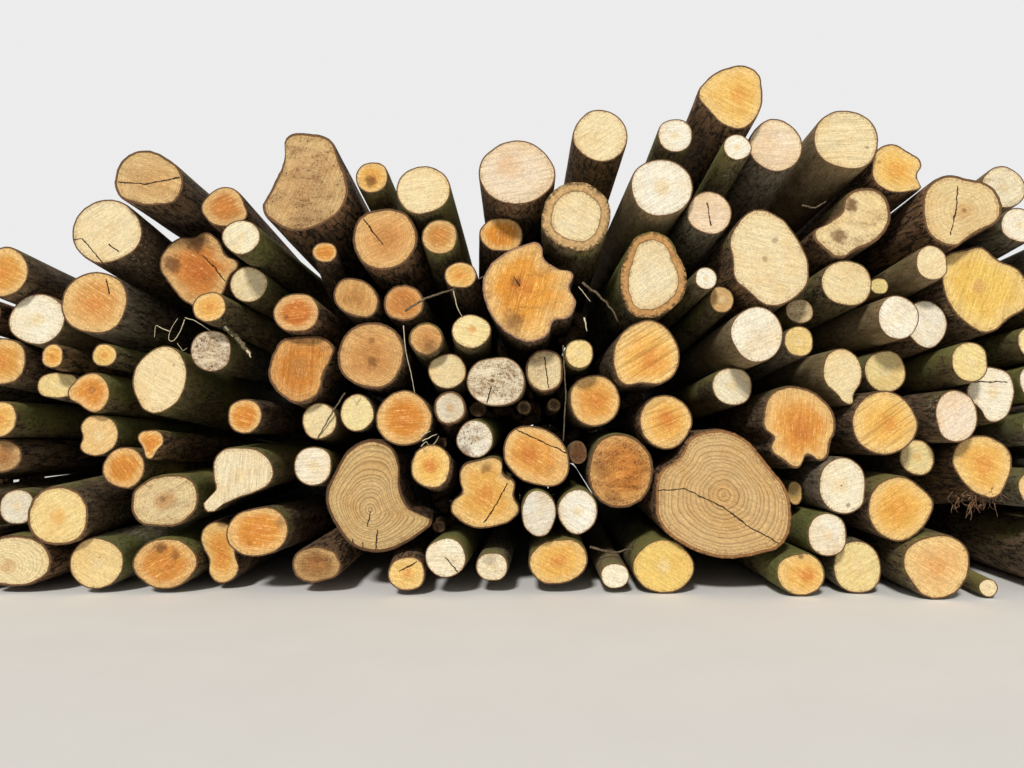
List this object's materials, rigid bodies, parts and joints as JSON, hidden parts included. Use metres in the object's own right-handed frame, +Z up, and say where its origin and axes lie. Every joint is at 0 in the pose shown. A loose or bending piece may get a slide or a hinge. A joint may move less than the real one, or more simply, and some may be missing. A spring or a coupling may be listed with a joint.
{
  "type": "log stack",
  "caption": "Loose stack of freshly sawn round hardwood and softwood logs of mixed thickness, piled on the ground with the cut ends to the front.",
  "frame": {"origin": "on the ground, in the middle of the stack's outer size", "axes": "+X runs along the stack, +Y runs from the front cut ends to the far cut ends, +Z is up"},
  "size_m": [7.1592, 3.3942, 2.6666],
  "materials": {
    "ash": "pale cream cut ends, dark bark with moss",
    "alder": "orange cut ends, dark bark with moss",
    "birch": "near-white cut ends, dark bark",
    "spruce": "tan cut ends with strong rings, rough brown bark",
    "oak": "brown-orange cut ends, rough dark bark"
  },
  "bodies": {
    "root": {"alder_logs_1": "alder", "alder_logs_2": "alder", "alder_logs_3": "alder", "alder_logs_4": "alder", "alder_logs_5": "alder", "alder_logs_6": "alder", "alder_logs_7": "alder", "alder_logs_8": "alder", "alder_logs_9": "alder", "alder_logs_10": "alder", "alder_logs_11": "alder", "alder_logs_12": "alder", "alder_logs_13": "alder", "alder_logs_14": "alder", "ash_logs_1": "ash", "ash_logs_2": "ash", "ash_logs_3": "ash", "ash_logs_4": "ash", "ash_logs_5": "ash", "ash_logs_6": "ash", "ash_logs_7": "ash", "ash_logs_8": "ash", "ash_logs_9": "ash", "ash_logs_10": "ash", "ash_logs_11": "ash", "ash_logs_12": "ash", "ash_logs_13": "ash", "ash_logs_14": "ash", "ash_logs_15": "ash", "ash_logs_16": "ash", "birch_logs_1": "birch", "birch_logs_2": "birch", "birch_logs_3": "birch", "birch_logs_4": "birch", "birch_logs_5": "birch", "oak_logs_1": "oak", "oak_logs_2": "oak", "oak_logs_3": "oak", "oak_logs_4": "oak", "oak_logs_5": "oak", "spruce_logs_1": "spruce", "spruce_logs_2": "spruce"}
  },
  "joints": []
}
